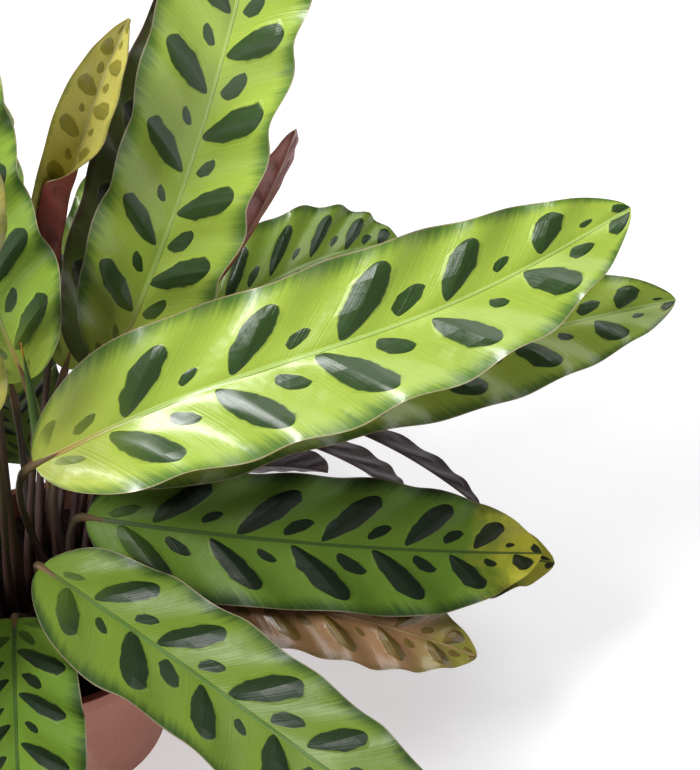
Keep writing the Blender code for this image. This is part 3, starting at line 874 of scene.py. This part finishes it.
# The spear is the newest leaf, still rolled up tight into a slim pointed roll
# with an orange tip. One wrap of the roll shows as a groove that winds up it.
def spear(name, node, slot, foot, base, tip, roll):
    """Builds the rolled leaf, of which roll is the largest radius in mm."""
    lf = Blade(foot, base, tip, 2 * roll, (0, -1, 0.1))
    _, _, normal, right = lf.frame(0.0)
    sides, steps = 20, 90
    verts, faces, uvs, skins = [], [], [], []
    for k in range(steps + 1):
        p = 2.0 * k / steps
        if p < 1:
            here = lf.stalk(p)
            radius = stalk_radius(p)
            groove = 0.0
        else:
            t = p - 1
            here = lf.midrib(t)
            swell = smooth(t / 0.3) * (1 - smooth((t - 0.35) / 0.65))
            radius = STALK_RADIUS * (1 - 0.85 * t) + (roll - STALK_RADIUS) * swell
            groove = 0.16 * smooth(t / 0.1)
        for i in range(sides):
            angle = 2 * math.pi * i / sides
            wrap = (angle / (2 * math.pi) + 0.6 * p) % 1.0
            r = radius * (1 - groove * wrap ** 3)
            verts.append((here + (right * math.cos(angle) + normal * math.sin(angle)) * r) * MM)
    for k in range(steps):
        for i in range(sides):
            j = (i + 1) % sides
            faces.append([k * sides + i, k * sides + j, (k + 1) * sides + j, (k + 1) * sides + i])
            skins.append(0 if k < steps // 2 else 1)
            uvs += [(ii / sides, 2.0 * kk / steps)
                    for kk, ii in ((k, i), (k, i + 1), (k + 1, i + 1), (k + 1, i))]
    for ring, order in ((0, -1), (steps, 1)):
        faces.append([ring * sides + i for i in range(sides)][::order])
        skins.append(0 if ring == 0 else 1)
        uvs += [(0.5, 2.0 * ring / steps)] * sides
    mesh = bpy.data.meshes.new(name)
    mesh.from_pydata([tuple(v) for v in verts], [], faces)
    mesh.uv_layers.new(name="place").data.foreach_set("uv", np.array(uvs, dtype=np.float32).ravel())
    mesh.polygons.foreach_set("material_index", np.array(skins, dtype=np.int32))
    mesh.shade_smooth()
    mat, tree, shader = new_material("spear_skin", 0.35, 0.5)
    place = tree.nodes.new("ShaderNodeUVMap")
    place.uv_map = "place"
    split = tree.nodes.new("ShaderNodeSeparateXYZ")
    tree.links.new(place.outputs["UV"], split.inputs[0])
    round_it, climb = split.outputs[0], split.outputs[1]
    streaks = cloud(tree, 420.0, 4.0, (1.0, 1.0, 0.1))
    colour = tint(tree, streaks, (0.030, 0.075, 0.016), (0.085, 0.150, 0.030))
    winding = math_node(tree, "MULTIPLY_ADD", climb, 0.6, round_it)
    seam = step_between(tree, math_node(tree, "FRACT", winding), 0.84, 0.97)
    colour = tint(tree, seam, colour, (0.30, 0.28, 0.06))
    colour = tint(tree, step_between(tree, climb, 1.86, 1.97), colour, (0.62, 0.24, 0.03))
    tree.links.new(colour, shader.inputs["Base Color"])
    tree.links.new(step_between(tree, streaks, -0.8, 1.9), shader.inputs["Roughness"])
    relief(tree, shader, streaks, 0.00025)
    return shown(name, mesh, [stalk_skin_painted_shade, mat], node, slot=slot)


spear("rolled_spear", "leaf_spear", "young_leaf", (2, 11), (1, 29, 138), (-1, 35, 215), 3.4)

# The leaves on the right
# These spread below the long leaf, one above another, and shade each other.
# The under long leaf and the between leaf have painted light in their colours; the shaded leaf, the
# low leaf and the three dark leaves have painted shade.
leaf("under_long_leaf", "leaf_under_long", "bright", "leaf", 61, foot=(9, 5), base=(12, 30, 148),
     tip=(266, 84, 190), width=54, face=(0.0, -0.55, 0.83), bow=(0, -4, 10))
leaf("back_right_leaf", "leaf_back_right", "plain", "leaf", 67, foot=(14, 26), base=(40, 92, 128),
     tip=(152, 149, 160), width=50, face=(0.0, -0.4, 0.9), bow=(0, 0, 22))
leaf("between_leaf", "leaf_between", "bright", "leaf", 71, foot=(13, 15), base=(26, 54, 130),
     tip=(98, 87, 160), width=44, face=(0.0, -0.5, 0.85), bow=(0, 0, 12), wave=1.8)
leaf("shaded_leaf", "leaf_shaded", "yellowing_painted_shade", "shaded_leaf", 73, foot=(10, -2),
     base=(17, 16, 128), tip=(213, 24, 92), width=58, face=(0.0, -0.6, 0.8), bow=(0, -12, 10),
     wave=3.2, blotches=5.5)
leaf("low_leaf", "leaf_low", "yellowing_painted_shade", "shaded_leaf", 79, foot=(18, 2), base=(26, 9, 110),
     tip=(222, 38, 66), width=50, face=(0.0, -0.4, 0.9), bow=(0, 0, 10))
leaf("red_edge_leaf", "leaf_red_edge", "brick", "dark_leaf", 83, foot=(9, 25), base=(40, 90, 151),
     tip=(107, 80, 286), width=36, face=(-0.7, 0.6, 0.2), bow=(6, 6, -8), wave=0.8, pleat=0.4)
leaf("dark_near_leaf", "leaf_dark_near", "wine", "dark_leaf", 89, foot=(21, 12), base=(44, 43, 114),
     tip=(118, 74, 88), width=30, face=(0.1, 1.0, 0.1), bow=(0, 0, 10), wave=0.6, pleat=0.3)
leaf("dark_middle_leaf", "leaf_dark_middle", "wine", "dark_leaf", 97, foot=(20, 20),
     base=(50, 64, 126), tip=(154, 82, 60), width=38, face=(0.6, 0.8, 0.1), bow=(0, 0, 20),
     wave=0.8, pleat=0.4)
leaf("dark_far_leaf", "leaf_dark_far", "wine", "dark_leaf", 101, foot=(19, 27), base=(54, 78, 128),
     tip=(188, 60, 80), width=40, face=(0.3, 0.75, 0.55), bow=(0, 8, 16), wave=1.0, pleat=0.5)

# The front leaves
# They lean out over the rim of the pot towards the front.
# Apart from the front left leaf, these have painted shade in their colours.
leaf("front_right_leaf", "leaf_front_right", "middle", "leaf", 103, foot=(3, -11),
     base=(-1, -3, 119), tip=(168, -154, 144), width=54, face=(0.1, -0.3, 0.95), bow=(0, -2, 7),
     blotches=5.8)
leaf("front_leaf", "leaf_front", "deep", "leaf", 107, foot=(-6, -10), base=(-13, -16, 100),
     tip=(17, -180, 130), width=52, face=(0.1, -0.1, 1.0), bow=(0, 0, 14))
leaf("small_front_leaf", "leaf_small_front", "middle", "leaf", 109, foot=(10, -15),
     base=(14, -24, 100), tip=(50, -58, 100), width=20, face=(0.3, -0.2, 0.9), bow=(0, 0, 8),
     fold=30, wave=0.8, pleat=0.4)
leaf("front_left_leaf", "leaf_front_left", "plain", "leaf", 113, foot=(-19, -16),
     base=(-30, -26, 135), tip=(-140, -170, 165), width=54, face=(0.1, 0.0, 1.0), bow=(0, 0, 24))
leaf("front_low_leaf", "leaf_front_low", "deep", "shaded_leaf", 127, foot=(-5, -20),
     base=(-10, -36, 101), tip=(-70, -185, 84), width=48, face=(0.0, 0.0, 1.0), bow=(0, 0, 18))

# The leaves on the left
# They fill the side of the plant that the photograph cuts off.
# The left back leaf has painted light in its colours, and the left low leaf painted shade.
leaf("left_arching_leaf", "leaf_left_arching", "plain", "leaf", 131, foot=(-21, -3),
     base=(-32, 0, 138), tip=(-225, 10, 150), width=54, face=(0.0, -0.2, 1.0), bow=(0, 0, 34))
leaf("left_back_leaf", "leaf_left_back", "bright", "leaf", 137, foot=(-17, 7), base=(-32, 32, 156),
     tip=(-190, 100, 230), width=54, face=(0.3, -0.4, 0.9), bow=(0, 0, 20))
leaf("left_front_leaf", "leaf_left_front", "plain", "leaf", 139, foot=(-21, -11),
     base=(-28, -12, 125), tip=(-200, -84, 110), width=52, face=(0.0, 0.0, 1.0), bow=(0, 0, 26))
leaf("left_low_leaf", "leaf_left_low", "deep", "shaded_leaf", 149, foot=(-28, -5),
     base=(-40, -6, 102), tip=(-195, -34, 60), width=48, face=(0.0, 0.0, 1.0), bow=(0, 0, 18))

# The leaves at the back
# They arch away behind the tall leaves, hidden in the photograph.
leaf("back_left_leaf", "leaf_back_left", "plain", "leaf", 151, foot=(-16, 15), base=(-30, 38, 128),
     tip=(-158, 145, 140), width=52, face=(0.2, -0.3, 0.95), bow=(0, 0, 28))
leaf("back_high_leaf", "leaf_back_high", "plain", "leaf", 157, foot=(-9, 20), base=(-19, 74, 140),
     tip=(-62, 215, 215), width=52, face=(0.0, -0.5, 0.9), bow=(0, 0, 26))
leaf("back_arching_leaf", "leaf_back_arching", "plain", "leaf", 163, foot=(-3, 29),
     base=(0, 97, 132), tip=(56, 224, 165), width=48, face=(0.0, -0.4, 0.9), bow=(0, 0, 24))
# The two low leaves at the back have painted shade in their colours.
leaf("back_low_leaf", "leaf_back_low", "deep", "shaded_leaf", 167, foot=(12, 33),
     base=(40, 92, 100), tip=(116, 170, 58), width=46, face=(0.3, 0.2, 0.95), bow=(0, 0, 16))
leaf("back_left_low_leaf", "leaf_back_left_low", "deep", "shaded_leaf", 173, foot=(-9, 27),
     base=(-16, 66, 103), tip=(-52, 172, 62), width=52, face=(-0.1, 0.2, 1.0), bow=(0, 0, 14))

# The stage
# A pale table top under soft studio light, with the camera looking down on
# the plant from the front as in the photograph.
floor_mesh = bpy.data.meshes.new("table")
floor_mesh.from_pydata([(-20, -20, 0), (20, -20, 0), (20, 20, 0), (-20, 20, 0)], [], [(0, 1, 2, 3)])
floor = bpy.data.objects.new("table", floor_mesh)
bpy.context.scene.collection.objects.link(floor)
mat, tree, shader = new_material("table_white", 0.6, 0.3)
shader.inputs["Base Color"].default_value = (0.72, 0.72, 0.74, 1.0)
shader.inputs["Emission Color"].default_value = (1.0, 1.0, 1.0, 1.0)
shader.inputs["Emission Strength"].default_value = 0.52
floor_mesh.materials.append(mat)

world = bpy.data.worlds.new("studio")
world.use_nodes = True
sky = world.node_tree
background = sky.nodes["Background"]
background.inputs["Color"].default_value = (1.0, 1.0, 1.0, 1.0)
seen = sky.nodes.new("ShaderNodeLightPath").outputs["Is Camera Ray"]
brightness = math_node(sky, "MULTIPLY_ADD", seen, 0.85, 0.13)
sky.links.new(brightness, background.inputs["Strength"])
bpy.context.scene.world = world


def soft_light(name, place, aim, size, power):
    data = bpy.data.lights.new(name, "AREA")
    data.shape = "RECTANGLE"
    data.size = size[0]
    data.size_y = size[1]
    data.energy = power
    obj = bpy.data.objects.new(name, data)
    bpy.context.scene.collection.objects.link(obj)
    obj.location = place
    obj.rotation_mode = "QUATERNION"
    obj.rotation_quaternion = (Vector(aim) - Vector(place)).to_track_quat("-Z", "Y")


soft_light("softbox_left", (-0.85, -0.40, 1.34), (0.05, 0.03, 0.2), (0.55, 0.55), 27.0)
soft_light("softbox_above", (0.25, 0.45, 1.75), (0.1, 0.05, 0.1), (1.6, 1.2), 16.0)

camera_data = bpy.data.cameras.new("camera")
camera_data.sensor_width = 36.0
camera_data.lens = 18.0 / math.tan(math.radians(12.0))
camera_data.clip_start = 0.05
camera = bpy.data.objects.new("camera", camera_data)
bpy.context.scene.collection.objects.link(camera)
camera.location = (0.1285, -0.4540, 0.7334)
camera.rotation_euler = (math.radians(42.0), 0.0, 0.0)
bpy.context.scene.camera = camera
bpy.context.scene.view_settings.view_transform = "Standard"
